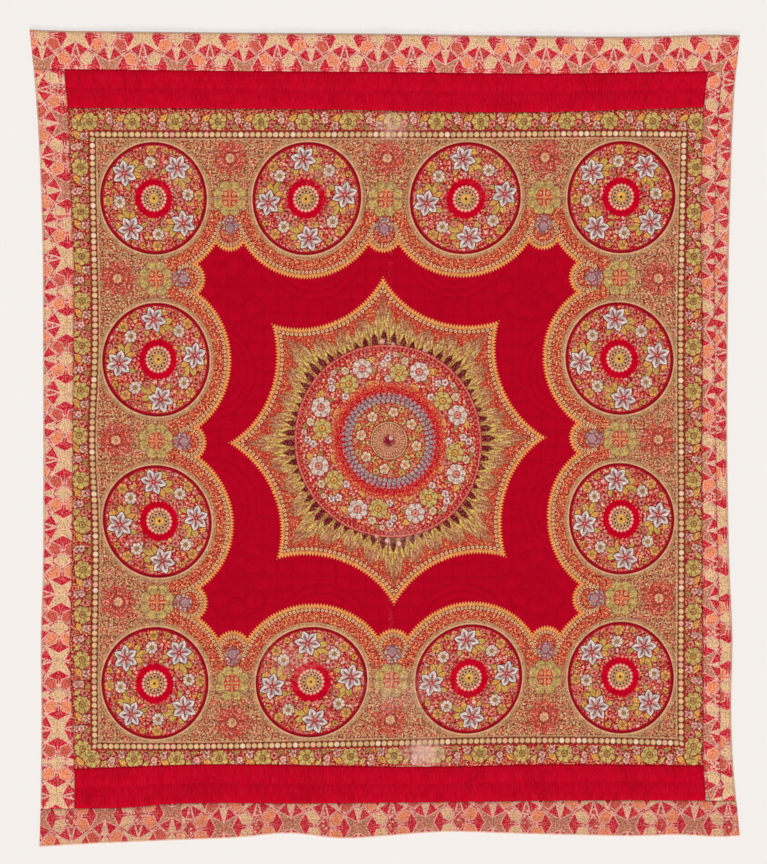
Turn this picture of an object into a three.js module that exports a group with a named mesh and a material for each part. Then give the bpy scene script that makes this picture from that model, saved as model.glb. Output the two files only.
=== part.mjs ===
// A printed cotton quilt that lies face up: a large centre panel, a plain strip above and below it, and a
// border all round, quilted in squares with a rosette in each corner of the plain field.
// Millimetres, +Z up. The origin is under the middle of the quilt, and +Y points to its top edge.
import * as THREE from "three";

// Thickness of the quilt, from its flat underside.
const STITCHED_THICKNESS = 3.2;
const PUFF_RISE = 2.6;
const HEM_THICKNESS = 2.6;

// Room between the solids of two pieces that are sewn together.
const SEAM_GAP = 0.3;

// Each line runs up the quilt, with its x at a few heights y. In order: the left edge, the left seam, the
// right seam, the seam between the two strips on the right, and the right edge.
const LINES_UP = [
  [
    { y: -1252, x: -1058 },
    { y: -1108, x: -1054 },
    { y: -802, x: -1052 },
    { y: -618, x: -1054 },
    { y: -373, x: -1047 },
    { y: 332, x: -1047 },
    { y: 607, x: -1049 },
    { y: 892, x: -1059 },
    { y: 1098, x: -1073 },
    { y: 1252, x: -1088.5 },
  ],
  [
    { y: -1133, x: -951 },
    { y: -1010, x: -950 },
    { y: -784, x: -960 },
    { y: -658, x: -964 },
    { y: -373, x: -958 },
    { y: 411, x: -953 },
    { y: 528, x: -952 },
    { y: 733, x: -961 },
    { y: 1012, x: -971 },
    { y: 1131, x: -983 },
  ],
  [
    { y: -1110, x: 984 },
    { y: -1001, x: 976 },
    { y: -557, x: 975 },
    { y: -128, x: 972 },
    { y: 332, x: 974 },
    { y: 730, x: 968 },
    { y: 1015, x: 978 },
    { y: 1124, x: 989 },
  ],
  [
    { y: -1110, x: 1035 },
    { y: -1001, x: 1028 },
    { y: -618, x: 1026 },
    { y: -128, x: 1015 },
    { y: 332, x: 1011 },
    { y: 730, x: 1012 },
    { y: 1015, x: 1024 },
    { y: 1124, x: 1034 },
  ],
  [
    { y: -1216, x: 1087 },
    { y: -1154, x: 1081 },
    { y: -986, x: 1066 },
    { y: -802, x: 1061 },
    { y: -618, x: 1065 },
    { y: -373, x: 1055 },
    { y: -5, x: 1049 },
    { y: 454, x: 1052 },
    { y: 733, x: 1058 },
    { y: 1049, x: 1070 },
    { y: 1234, x: 1088.5 },
  ],
];

// Each line runs across the quilt, with its y at a few places x. In order: the bottom edge, the seams of the
// bottom border, of the bottom strip and of the top strip, the seam of the top border, and the top edge.
const LINES_ACROSS = [
  [
    { x: -1058, y: -1252 },
    { x: -912, y: -1243 },
    { x: -707, y: -1234 },
    { x: -444, y: -1223 },
    { x: -296, y: -1210 },
    { x: -128, y: -1226 },
    { x: 181, y: -1206 },
    { x: 424, y: -1212 },
    { x: 782, y: -1219 },
    { x: 898, y: -1215 },
    { x: 1030, y: -1222 },
    { x: 1087, y: -1216 },
  ],
  [
    { x: -951, y: -1134 },
    { x: -793, y: -1132 },
    { x: -667, y: -1121 },
    { x: -505, y: -1117 },
    { x: -296, y: -1119 },
    { x: 108, y: -1115 },
    { x: 660, y: -1109 },
    { x: 984, y: -1110 },
  ],
  [
    { x: -949, y: -1012 },
    { x: -505, y: -998 },
    { x: 108, y: -1006 },
    { x: 537, y: -998 },
    { x: 975, y: -1002 },
  ],
  [
    { x: -971, y: 1012 },
    { x: -260, y: 1008 },
    { x: 16, y: 1003 },
    { x: 353, y: 998 },
    { x: 537, y: 1000 },
    { x: 782, y: 1007 },
    { x: 978, y: 1014 },
  ],
  [
    { x: -983, y: 1131 },
    { x: -719, y: 1128 },
    { x: -444, y: 1125 },
    { x: -15, y: 1122 },
    { x: 353, y: 1118 },
    { x: 537, y: 1117 },
    { x: 782, y: 1121 },
    { x: 989, y: 1124 },
  ],
  [
    { x: -1088.5, y: 1252 },
    { x: -995, y: 1248 },
    { x: -444, y: 1242 },
    { x: -45, y: 1239 },
    { x: 537, y: 1231 },
    { x: 782, y: 1230 },
    { x: 1006, y: 1236 },
    { x: 1088.5, y: 1234 },
  ],
];

// Quilted squares between one line and the next.
const SQUARES_ACROSS = [2, 43, 1, 1];
const SQUARES_UP = [2, 2, 45, 2, 2];

// The pieces of cloth. Each fills the bands from its first to its last, counted from the left and the bottom.
const PIECES = [
  { name: "centre_panel", bandsAcross: [1, 1], bandsUp: [2, 2], cloth: "panelPrint" },
  { name: "red_strip_top", bandsAcross: [1, 1], bandsUp: [3, 3], cloth: "plainRed" },
  { name: "red_strip_bottom", bandsAcross: [1, 1], bandsUp: [1, 1], cloth: "plainRed" },
  { name: "border_top", bandsAcross: [0, 3], bandsUp: [4, 4], cloth: "borderPrint" },
  { name: "border_bottom", bandsAcross: [0, 3], bandsUp: [0, 0], cloth: "borderPrint" },
  { name: "border_left", bandsAcross: [0, 0], bandsUp: [1, 3], cloth: "borderPrint" },
  { name: "border_right_inner", bandsAcross: [2, 2], bandsUp: [1, 3], cloth: "borderPrint" },
  { name: "border_right_outer", bandsAcross: [3, 3], bandsUp: [1, 3], cloth: "borderPrint" },
];

const CLOTHS = {
  panelPrint: new THREE.MeshStandardMaterial({ color: 0xb44a3c, roughness: 0.9, flatShading: true }),
  plainRed: new THREE.MeshStandardMaterial({ color: 0xbf0422, roughness: 0.9, flatShading: true }),
  borderPrint: new THREE.MeshStandardMaterial({ color: 0xd6866f, roughness: 0.9, flatShading: true }),
};

// A quilted rosette in each corner of the plain field: a round boss inside a ring of petals.
const ROSETTES = [
  { x: -456, y: 460 },
  { x: 442, y: 470 },
  { x: 470, y: -434 },
  { x: -452, y: -440 },
];
const ROSETTE = {
  bossRadius: 34,
  petals: 8,
  petalRing: 76,
  petalRadius: 30,
  petalDepth: 0.4,
  edgeRadius: 112,
  rise: 3.4,
};

// The fold down the middle, where the quilt was kept folded, and the slow unevenness of an old quilt.
const FOLD = { x: 14, halfWidth: 46, rise: 1.6 };
const WAVES = [
  { lengthX: 640, lengthY: 910, turn: 0.4, rise: 0.5 },
  { lengthX: 410, lengthY: -530, turn: 2.1, rise: 0.35 },
  { lengthX: 260, lengthY: 1500, turn: 4.0, rise: 0.25 },
];

// How far the hem ripples reach in from the bottom edge, and how high they rise.
const HEM_RIPPLE = { reach: 150, length: 310, rise: 1.1 };

// The value of a table's column at a place along its other column, on a smooth curve through the rows.
function along(rows, placeColumn, valueColumn, place) {
  const last = rows.length - 1;
  const slope = (i) => {
    const before = rows[Math.max(i - 1, 0)];
    const after = rows[Math.min(i + 1, last)];
    return (after[valueColumn] - before[valueColumn]) / (after[placeColumn] - before[placeColumn]);
  };
  if (place <= rows[0][placeColumn]) return rows[0][valueColumn] + slope(0) * (place - rows[0][placeColumn]);
  if (place >= rows[last][placeColumn]) {
    return rows[last][valueColumn] + slope(last) * (place - rows[last][placeColumn]);
  }
  const i = rows.findIndex((row) => row[placeColumn] > place) - 1;
  const span = rows[i + 1][placeColumn] - rows[i][placeColumn];
  const t = (place - rows[i][placeColumn]) / span;
  const start = rows[i][valueColumn];
  const end = rows[i + 1][valueColumn];
  const ease = t * t * (3 - 2 * t);
  const leaving = t * (1 - t) * (1 - t) * span * slope(i);
  const arriving = t * t * (t - 1) * span * slope(i + 1);
  return start + (end - start) * ease + leaving + arriving;
}

const mean = (rows, column) => rows.reduce((sum, row) => sum + row[column], 0) / rows.length;
const MEAN_X = LINES_UP.map((rows) => mean(rows, "x"));
const MEAN_Y = LINES_ACROSS.map((rows) => mean(rows, "y"));

// Which band a lattice line belongs to, and its share of the way through it.
function bandPlace(squares, line) {
  let first = 0;
  let band = 0;
  while (band < squares.length - 1 && line > first + squares[band]) {
    first += squares[band];
    band += 1;
  }
  return { band, share: (line - first) / squares[band] };
}

// Where a point of the lattice of squares lies on the quilt. Half numbers lie between two lattice lines.
// x and y each depend a little on the other, so they are worked out in a few passes.
const PASSES = 4;
function onQuilt(column, row) {
  const { band: i, share: s } = bandPlace(SQUARES_ACROSS, column);
  const { band: j, share: t } = bandPlace(SQUARES_UP, row);
  let x = THREE.MathUtils.lerp(MEAN_X[i], MEAN_X[i + 1], s);
  let y = 0;
  for (let pass = 0; pass < PASSES; pass += 1) {
    y = THREE.MathUtils.lerp(along(LINES_ACROSS[j], "x", "y", x), along(LINES_ACROSS[j + 1], "x", "y", x), t);
    x = THREE.MathUtils.lerp(along(LINES_UP[i], "y", "x", y), along(LINES_UP[i + 1], "y", "x", y), s);
  }
  return { x, y };
}

// A smooth hump: 1 in its middle and 0 from its half width on.
function hump(distance, halfWidth) {
  const t = Math.max(0, 1 - Math.abs(distance) / halfWidth);
  return t * t * (3 - 2 * t);
}

// The rise of the rosettes at a point, or undefined away from them.
function rosetteRise(x, y) {
  const near = ROSETTES.find((rosette) => Math.hypot(x - rosette.x, y - rosette.y) < ROSETTE.edgeRadius);
  if (!near) return undefined;
  const radius = Math.hypot(x - near.x, y - near.y);
  const angle = Math.atan2(y - near.y, x - near.x);
  const petal = 1 - ROSETTE.petalDepth * (1 - Math.cos(ROSETTE.petals * angle));
  const boss = hump(radius, ROSETTE.bossRadius);
  return ROSETTE.rise * Math.max(boss, petal * hump(radius - ROSETTE.petalRing, ROSETTE.petalRadius));
}

// The height of the face at a point: low along the stitching, high in the middle of each square.
function faceHeight(x, y, puffed) {
  const rosette = rosetteRise(x, y);
  const quilting = rosette ?? (puffed ? PUFF_RISE : 0);
  const wave = WAVES.reduce(
    (sum, { lengthX, lengthY, turn, rise }) =>
      sum + rise * (1 + Math.sin(2 * Math.PI * (x / lengthX + y / lengthY) + turn)),
    0,
  );
  const fold = FOLD.rise * hump(x - FOLD.x, FOLD.halfWidth);
  const hemPlace = Math.max(0, 1 - (y - MEAN_Y[0]) / HEM_RIPPLE.reach);
  const ripple = HEM_RIPPLE.rise * hemPlace * (1 + Math.sin((2 * Math.PI * x) / HEM_RIPPLE.length));
  return STITCHED_THICKNESS + quilting + wave + fold + ripple;
}

// One piece of the quilt: a closed sheet with its flat underside at z = 0 and its quilted face above.
function sheet(bandsAcross, bandsUp) {
  const linesBefore = (squares, band) => squares.slice(0, band).reduce((sum, count) => sum + count, 0);
  const firstColumn = linesBefore(SQUARES_ACROSS, bandsAcross[0]);
  const firstRow = linesBefore(SQUARES_UP, bandsUp[0]);
  const columns = linesBefore(SQUARES_ACROSS, bandsAcross[1] + 1) - firstColumn;
  const rows = linesBefore(SQUARES_UP, bandsUp[1] + 1) - firstRow;
  const seamAt = {
    left: bandsAcross[0] > 0,
    right: bandsAcross[1] < SQUARES_ACROSS.length - 1,
    bottom: bandsUp[0] > 0,
    top: bandsUp[1] < SQUARES_UP.length - 1,
  };
  const positions = [];
  const triangles = [];
  const addPoint = (x, y, z) => positions.push(x, y, z) / 3 - 1;

  // A lattice point stays half a seam gap inside its piece, and is thin where the outer edge is turned in.
  const edgePoint = (i, j) => {
    const point = onQuilt(firstColumn + i, firstRow + j);
    const half = SEAM_GAP / 2;
    if (i === 0 && seamAt.left) point.x += half;
    if (i === columns && seamAt.right) point.x -= half;
    if (j === 0 && seamAt.bottom) point.y += half;
    if (j === rows && seamAt.top) point.y -= half;
    const onHem =
      (i === 0 && !seamAt.left) ||
      (i === columns && !seamAt.right) ||
      (j === 0 && !seamAt.bottom) ||
      (j === rows && !seamAt.top);
    return { ...point, z: onHem ? HEM_THICKNESS : faceHeight(point.x, point.y, false) };
  };

  const top = [];
  for (let j = 0; j <= rows; j += 1) {
    top.push([]);
    for (let i = 0; i <= columns; i += 1) {
      const { x, y, z } = edgePoint(i, j);
      top[j].push(addPoint(x, y, z));
    }
  }
  for (let j = 0; j < rows; j += 1) {
    for (let i = 0; i < columns; i += 1) {
      const { x, y } = onQuilt(firstColumn + i + 0.5, firstRow + j + 0.5);
      const middle = addPoint(x, y, faceHeight(x, y, true));
      const corners = [top[j][i], top[j][i + 1], top[j + 1][i + 1], top[j + 1][i]];
      corners.forEach((corner, n) => triangles.push(corner, corners[(n + 1) % 4], middle));
    }
  }

  // The underside has only the points of the rim, each straight below one of the face.
  const below = new Map();
  const under = (point) => {
    if (!below.has(point)) below.set(point, addPoint(positions[3 * point], positions[3 * point + 1], 0));
    return below.get(point);
  };
  const addFlat = (a, b, c) => triangles.push(under(a), under(c), under(b));

  const rim = [];
  for (let i = 0; i < columns; i += 1) rim.push(top[0][i]);
  for (let j = 0; j < rows; j += 1) rim.push(top[j][columns]);
  for (let i = columns; i > 0; i -= 1) rim.push(top[rows][i]);
  for (let j = rows; j > 0; j -= 1) rim.push(top[j][0]);
  rim.forEach((point, n) => {
    const next = rim[(n + 1) % rim.length];
    triangles.push(under(point), under(next), next, under(point), next, point);
  });

  // Slats across the sheet's shorter way fill the underside, and a fan at each end takes the rim points there.
  const wide = columns >= rows;
  const length = wide ? columns : rows;
  const depth = wide ? rows : columns;
  const at = (n, side) => (wide ? top[side][n] : top[n][side]);
  const turned = (a, b, c) => (wide ? addFlat(a, b, c) : addFlat(a, c, b));
  const end = (n, inner, flip) => {
    const half = Math.floor(depth / 2);
    const face = (a, b, c) => (flip ? turned(a, c, b) : turned(a, b, c));
    for (let m = 0; m < half; m += 1) face(at(n, m), at(inner, 0), at(n, m + 1));
    face(at(n, half), at(inner, 0), at(inner, depth));
    for (let m = half; m < depth; m += 1) face(at(n, m), at(inner, depth), at(n, m + 1));
  };
  end(0, 1, false);
  for (let n = 1; n < length - 1; n += 1) {
    turned(at(n, 0), at(n + 1, 0), at(n + 1, depth));
    turned(at(n, 0), at(n + 1, depth), at(n, depth));
  }
  end(length, length - 1, true);

  const geometry = new THREE.BufferGeometry();
  geometry.setAttribute("position", new THREE.Float32BufferAttribute(positions, 3));
  geometry.setIndex(triangles);
  geometry.computeVertexNormals();
  return geometry;
}

const quilt = new THREE.Group();
for (const { name, bandsAcross, bandsUp, cloth } of PIECES) {
  const mesh = new THREE.Mesh(sheet(bandsAcross, bandsUp), CLOTHS[cloth]);
  mesh.name = name;
  quilt.add(mesh);
}

export default quilt;
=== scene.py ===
"""Dresses a printed cotton quilt over its solids: quilted sheets of cloth whose print is drawn by nodes."""

import math

import bpy
import numpy as np
from mathutils import Euler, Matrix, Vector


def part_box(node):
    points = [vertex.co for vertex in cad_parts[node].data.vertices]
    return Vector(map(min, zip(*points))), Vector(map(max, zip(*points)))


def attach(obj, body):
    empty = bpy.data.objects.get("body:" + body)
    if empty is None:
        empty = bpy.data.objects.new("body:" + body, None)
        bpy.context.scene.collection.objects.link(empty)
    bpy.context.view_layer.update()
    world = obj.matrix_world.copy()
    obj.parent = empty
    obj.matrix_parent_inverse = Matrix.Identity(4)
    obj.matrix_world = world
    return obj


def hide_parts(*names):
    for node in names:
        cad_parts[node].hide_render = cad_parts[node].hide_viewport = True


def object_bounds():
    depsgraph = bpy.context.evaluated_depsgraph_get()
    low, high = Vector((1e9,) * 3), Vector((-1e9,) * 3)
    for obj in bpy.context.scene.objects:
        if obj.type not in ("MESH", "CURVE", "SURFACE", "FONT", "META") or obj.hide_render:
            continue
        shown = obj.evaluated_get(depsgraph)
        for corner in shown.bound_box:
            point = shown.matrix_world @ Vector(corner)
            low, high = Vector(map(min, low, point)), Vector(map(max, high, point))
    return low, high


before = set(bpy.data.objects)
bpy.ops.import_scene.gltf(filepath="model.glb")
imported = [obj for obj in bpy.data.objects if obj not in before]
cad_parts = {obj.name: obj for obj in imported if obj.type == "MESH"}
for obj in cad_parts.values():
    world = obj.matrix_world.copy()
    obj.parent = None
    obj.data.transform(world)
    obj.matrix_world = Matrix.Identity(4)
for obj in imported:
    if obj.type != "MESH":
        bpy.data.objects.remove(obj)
cad_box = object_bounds()

MM = 0.001
# The print is drawn in units of its own: one unit is this many metres on the cloth.
UNIT = 0.003064

# Relief of the quilt's face, in metres.
STITCHED = 3.2 * MM
PUFF = 2.4 * MM
SQUARE = 45 * MM
HEM_ROUND = 5 * MM
HEM_EDGE = 0.6 * MM
LINE_WIDTH = 3.4 * MM
SEAM_DEPTH = 0.8 * MM
SEAM_SHADE = 0.55
SEAM_WIDTH = 4 * MM

# Quilted squares in each node, across and up, and mesh cells in each square.
SQUARES = {
    "centre_panel": (43, 45, 7),
    "red_strip_top": (43, 2, 10),
    "red_strip_bottom": (43, 2, 10),
    "border_top": (47, 2, 10),
    "border_bottom": (47, 2, 10),
    "border_left": (2, 49, 10),
    "border_right_inner": (1, 49, 10),
    "border_right_outer": (1, 49, 10),
}
# Sides that end in a turned-in hem, and not in a seam
HEMS = {
    "border_top": ("left", "right", "top"),
    "border_bottom": ("left", "right", "bottom"),
    "border_left": ("left",),
    "border_right_outer": ("right",),
}
# Extra rows of mesh at a hem, by their distance from its edge
HEM_ROWS = (0.5 * MM, 1.4 * MM, 2.8 * MM)


# The sheets

def underside_rim(node):
    """The rim of a solid's flat underside, as one loop of points."""
    mesh = node.data
    places = [tuple(round(c, 6) for c in v.co) for v in mesh.vertices]
    edges = set()
    for face in mesh.polygons:
        corners = [places[i] for i in face.vertices]
        if all(abs(corner[2]) < 1e-6 for corner in corners):
            edges.update(zip(corners, corners[1:] + corners[:1]))
    after = {a: b for a, b in edges if (b, a) not in edges}
    loop = [next(iter(after))]
    while after[loop[-1]] != loop[0]:
        loop.append(after[loop[-1]])
    return np.array(loop)[:, :2]


def sides_of(node):
    """The left, right, bottom and top sides of a solid, each as a table for np.interp."""
    rim = underside_rim(node)
    low = rim.min(axis=0)
    size = rim.max(axis=0) - low
    square = (rim - low) / size
    corner = {(a, b): int(np.argmin(np.abs(square - (a, b)).sum(axis=1))) for a in (0, 1) for b in (0, 1)}

    def side(start, end, along):
        a, b = corner[start], corner[end]
        count = len(rim)
        ways = [[(a + k * step) % count for k in range((step * (b - a)) % count + 1)] for step in (1, -1)]
        points = rim[min(ways, key=len)]
        points = points[np.argsort(points[:, along])]
        return points[:, along], points[:, 1 - along]

    return {
        "left": side((0, 0), (0, 1), 1),
        "right": side((1, 0), (1, 1), 1),
        "bottom": side((0, 0), (1, 0), 0),
        "top": side((0, 1), (1, 1), 0),
    }


def flat_cut(node_name):
    """The width and length a sheet was cut to: the means of its opposite sides."""
    sides = sides_of(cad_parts[node_name])

    def mean_gap(a, b):
        places = np.linspace(max(a[0][0], b[0][0]), min(a[0][-1], b[0][-1]), 60)
        return float(np.abs(np.interp(places, *a) - np.interp(places, *b)).mean())

    return mean_gap(sides["left"], sides["right"]), mean_gap(sides["bottom"], sides["top"])


def grid_shares(cells, length, hem_low, hem_high):
    """Shares of the way across a sheet: even cells, with more rows where its edge is turned in."""
    shares = list(np.linspace(0, 1, cells + 1))
    rounding = [row / length for row in HEM_ROWS]
    if hem_low:
        shares += rounding
    if hem_high:
        shares += [1 - d for d in rounding]
    return np.array(sorted(shares))


def on_cloth(sides, s, t):
    """The places of a grid of shares between the four sides."""
    across, up = np.meshgrid(s, t)
    x = np.interp(across, (0, 1), (sides["bottom"][0][0], sides["bottom"][0][-1]))
    y = np.zeros_like(x)
    for _ in range(5):
        low = np.interp(x, *sides["bottom"])
        high = np.interp(x, *sides["top"])
        y = low + (high - low) * up
        left = np.interp(y, *sides["left"])
        right = np.interp(y, *sides["right"])
        x = left + (right - left) * across
    return x, y


# The quilting

# Middles of the rosettes in the corners of the plain field, and a rosette's measures
ROSETTES = [(-0.456, 0.460), (0.442, 0.470), (0.470, -0.434), (-0.452, -0.440)]
ROSETTE = {"boss": 0.036, "petals": 8, "petal_ring": 0.076, "petal_radius": 0.029, "edge": 0.108}
ROSETTE_SOFT = 6 * MM
# Fans of curved lines between the rosettes: where each stands, their reach, step and soft edge
FANS = [
    (-0.215, 0.570),
    (0.215, 0.575),
    (0.560, 0.205),
    (0.560, -0.215),
    (0.235, -0.585),
    (-0.190, -0.590),
    (-0.535, -0.205),
    (-0.540, 0.205),
]
FAN_REACH = 0.150
FAN_STEP = 0.024
FAN_SOFT = 8 * MM
# The plain field's half width and its soft edge, and how far its squares are flattened and the painted shade
# along their lines weakened
FIELD_EDGE = 0.630
FIELD_SOFT = 0.05
FIELD_FLAT = 0.75
FIELD_LINE_SHADE_CUT = 0.5
# How strong the painted shade along the strips' stitched lines is
STRIP_LINES = 0.4
# How full a square and the ridge between two lines of a fan are: a smaller number is fuller
SQUARE_FULL = 0.55
RIDGE_FULL = 0.6
# How strong the painted shade along the lines of a fan and of a rosette is, and along the spokes of a
# rosette
CURVE_LINES = {"fan": 0.55, "rosette": 0.6, "spokes": 0.4}
# The fold down the middle: it sways from side to side by a little, at so many radians a metre
FOLD = {"x": 0.014, "half_width": 0.040, "rise": 1.3 * MM, "sway": 0.006, "sway_rate": 5}
WAVES = [
    {"length_x": 0.640, "length_y": 0.910, "turn": 0.4, "rise": 0.5 * MM},
    {"length_x": 0.410, "length_y": -0.530, "turn": 2.1, "rise": 0.35 * MM},
    {"length_x": 0.260, "length_y": 1.500, "turn": 4.0, "rise": 0.25 * MM},
]
HEM_RIPPLE = {"reach": 0.150, "length": 0.310, "rise": 1.1 * MM}


def hump(distance, half_width):
    """1 at a line and 0 from the half width on, with soft sides."""
    t = np.clip(1 - np.abs(distance) / half_width, 0, 1)
    return t * t * (3 - 2 * t)


def line(distance, width=LINE_WIDTH):
    """How much of a stitched line there is at a distance from it."""
    return np.exp(-((distance / width) ** 2))


def slow_relief(x, y):
    """The unevenness of an old quilt: slow waves, a fold down the middle and a rippled hem."""
    rise = np.zeros_like(x)
    for wave in WAVES:
        turn = 2 * math.pi * (x / wave["length_x"] + y / wave["length_y"]) + wave["turn"]
        rise += wave["rise"] * (1 + np.sin(turn))
    sway = FOLD["sway"] * np.sin(y * FOLD["sway_rate"])
    rise += FOLD["rise"] * hump(x - FOLD["x"] - sway, FOLD["half_width"])
    lowest = cad_box[0][1]
    near_hem = np.clip(1 - (y - lowest) / HEM_RIPPLE["reach"], 0, 1)
    rise += HEM_RIPPLE["rise"] * near_hem * (1 + np.sin(2 * math.pi * x / HEM_RIPPLE["length"]))
    return rise


def squares_quilting(q, r):
    """The puff of a lattice of squares and the share of painted shade along its stitched lines, at lattice
    places q and r.
    """
    puff = np.abs(np.sin(math.pi * q) * np.sin(math.pi * r)) ** SQUARE_FULL
    off = np.minimum(np.abs(q - np.round(q)), np.abs(r - np.round(r))) * SQUARE
    return puff, line(off)


def field_quilting(x, y, puff, lines):
    """Puts the puffs and the painted line shade of the fans and the corner rosettes over the squares, which
    are faint in the plain field.
    """
    in_field = np.clip((FIELD_EDGE - np.maximum(np.abs(x), np.abs(y))) / FIELD_SOFT, 0, 1)
    lines = lines * (1 - FIELD_LINE_SHADE_CUT * in_field)
    puff = puff + FIELD_FLAT * (1 - puff) * in_field
    for fan_x, fan_y in FANS:
        radius = np.hypot(x - fan_x, y - fan_y)
        inside = np.clip((FAN_REACH - radius) / FAN_SOFT + 0.5, 0, 1)
        step = radius / FAN_STEP
        puff = puff + (np.abs(np.sin(math.pi * step)) ** RIDGE_FULL - puff) * inside
        own_lines = CURVE_LINES["fan"] * line((step - np.round(step)) * FAN_STEP)
        lines = lines + (own_lines - lines) * inside
    for rosette_x, rosette_y in ROSETTES:
        dx = x - rosette_x
        dy = y - rosette_y
        radius = np.hypot(dx, dy)
        angle = np.arctan2(dy, dx)
        sector = 2 * math.pi / ROSETTE["petals"]
        turned = (angle + sector / 2) % sector - sector / 2
        petal_x = radius * np.cos(turned) - ROSETTE["petal_ring"]
        petal_y = radius * np.sin(turned)
        from_petal = np.hypot(petal_x, petal_y)
        spoke_turn = (angle + sector / 4) % (sector / 2) - sector / 4
        spokes = line(radius * np.abs(spoke_turn)) * (radius < ROSETTE["boss"])
        own_puff = np.maximum(
            hump(from_petal, ROSETTE["petal_radius"] * 1.25),
            0.8 * hump(radius, ROSETTE["boss"] * 1.3),
        )
        own_lines = np.maximum.reduce([
            CURVE_LINES["rosette"] * line(from_petal - ROSETTE["petal_radius"]),
            CURVE_LINES["rosette"] * line(radius - ROSETTE["boss"]),
            CURVE_LINES["spokes"] * spokes,
        ])
        inside = np.clip((ROSETTE["edge"] - radius) / ROSETTE_SOFT + 0.5, 0, 1)
        puff = puff + (own_puff - puff) * inside
        lines = lines + (own_lines - lines) * inside
    return puff, lines


# Where the print lies

# The drawing is even: its roundels stand a pitch apart, and its beaded line and the tips of its star at
# distances of their own from the middle, all in print units. On the cloth it is pulled out of shape.
PITCH = 158.25
TIP = 161.2
FRAME_LINE = 300.0
DIAGONAL = math.sqrt(0.5)
# Landmarks, by the unit that their drawn places are given in: drawn place, and seen place in metres
LANDMARKS = {
    PITCH: [
        ((-1.5, 1.5), (-0.7070, 0.7343)),
        ((-0.5, 1.5), (-0.2413, 0.7331)),
        ((0.5, 1.5), (0.2489, 0.7331)),
        ((1.5, 1.5), (0.7239, 0.7393)),
        ((-1.5, 0.5), (-0.6932, 0.2413)),
        ((-1.5, -0.5), (-0.6902, -0.2535)),
        ((1.5, 0.5), (0.7177, 0.2428)),
        ((1.5, -0.5), (0.7239, -0.2474)),
        ((-1.5, -1.5), (-0.7052, -0.7514)),
        ((-0.5, -1.5), (-0.2260, -0.7459)),
        ((0.5, -1.5), (0.2581, -0.7346)),
        ((1.5, -1.5), (0.7208, -0.7300)),
    ],
    TIP: [
        ((0, 0), (0.0130, -0.0072)),
        ((0, 1), (-0.0054, 0.4941)),
        ((DIAGONAL, DIAGONAL), (0.3501, 0.3593)),
        ((1, 0), (0.4941, 0.0023)),
        ((DIAGONAL, -DIAGONAL), (0.3715, -0.3639)),
        ((0, -1), (0.0283, -0.5109)),
        ((-DIAGONAL, -DIAGONAL), (-0.3301, -0.3700)),
        ((-1, 0), (-0.4772, -0.0146)),
        ((-DIAGONAL, DIAGONAL), (-0.3455, 0.3501)),
    ],
    FRAME_LINE: [
        ((-1, 1), (-0.8955, 0.9307)),
        ((0, 1), (0.0100, 0.9307)),
        ((1, 1), (0.9169, 0.9307)),
        ((-1, 0), (-0.8969, -0.0054)),
        ((1, 0), (0.9077, -0.0054)),
        ((-1, -1), (-0.8878, -0.9429)),
        ((0, -1), (0.0161, -0.9337)),
        ((1, -1), (0.9077, -0.9337)),
    ],
}


def drawn_places(x, y):
    """The drawing's places at places on the cloth, bent smoothly through the landmarks like a thin plate."""
    seen = np.array([place for marks in LANDMARKS.values() for _, place in marks])
    drawn = np.array([np.multiply(place, unit) for unit, marks in LANDMARKS.items() for place, _ in marks])

    def bending(points):
        squared = ((points[:, None, :] - seen[None, :, :]) ** 2).sum(axis=2)
        return squared * np.log(squared + 1e-12)

    def flat(points):
        return np.column_stack([np.ones(len(points)), points])

    count = len(seen)
    system = np.zeros((count + 3, count + 3))
    system[:count, :count] = bending(seen)
    system[:count, count:] = flat(seen)
    system[count:, :count] = flat(seen).T
    weights = np.linalg.solve(system, np.vstack([drawn, np.zeros((3, 2))]))
    points = np.column_stack([x.ravel(), y.ravel()])
    out = bending(points) @ weights[:count] + flat(points) @ weights[count:]
    return out[:, 0].reshape(x.shape), out[:, 1].reshape(x.shape)


# Worn and faded places: where, how far they reach across and up, and how pale they are

WORN = [
    (0.030, 0.955, 0.080, 0.060, 0.50),
    (0.120, -0.965, 0.070, 0.050, 0.75),
    (-0.290, -0.690, 0.110, 0.070, 0.35),
    (0.060, -0.780, 0.150, 0.090, 0.35),
    (-0.180, 0.800, 0.060, 0.070, 0.30),
    (-0.630, 0.800, 0.060, 0.070, 0.25),
    (0.320, 0.800, 0.060, 0.070, 0.22),
    (0.010, 0.230, 0.080, 0.050, 0.32),
    (0.060, -0.300, 0.090, 0.040, 0.38),
]
FOLD_WORN = 0.10


def worn_share(x, y):
    """How worn the print is at each place."""
    worn = np.zeros_like(x)
    for spot_x, spot_y, reach_x, reach_y, pale in WORN:
        away = ((x - spot_x) / reach_x) ** 2 + ((y - spot_y) / reach_y) ** 2
        worn = np.maximum(worn, pale * np.exp(-away))
    fold = FOLD_WORN * hump(x - FOLD["x"], FOLD["half_width"] / 2)
    return np.clip(worn + fold, 0, 1)


def give_point_values(mesh, name, values):
    """Stores one number for each point of a mesh."""
    layer = mesh.attributes.new(name, "FLOAT", "POINT")
    layer.data.foreach_set("value", values)


def give_point_places(mesh, name, x, y):
    """Stores one flat place for each point of a mesh."""
    layer = mesh.attributes.new(name, "FLOAT_VECTOR", "POINT")
    layer.data.foreach_set("vector", np.column_stack([x, y, np.zeros(len(x))]).ravel())


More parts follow.
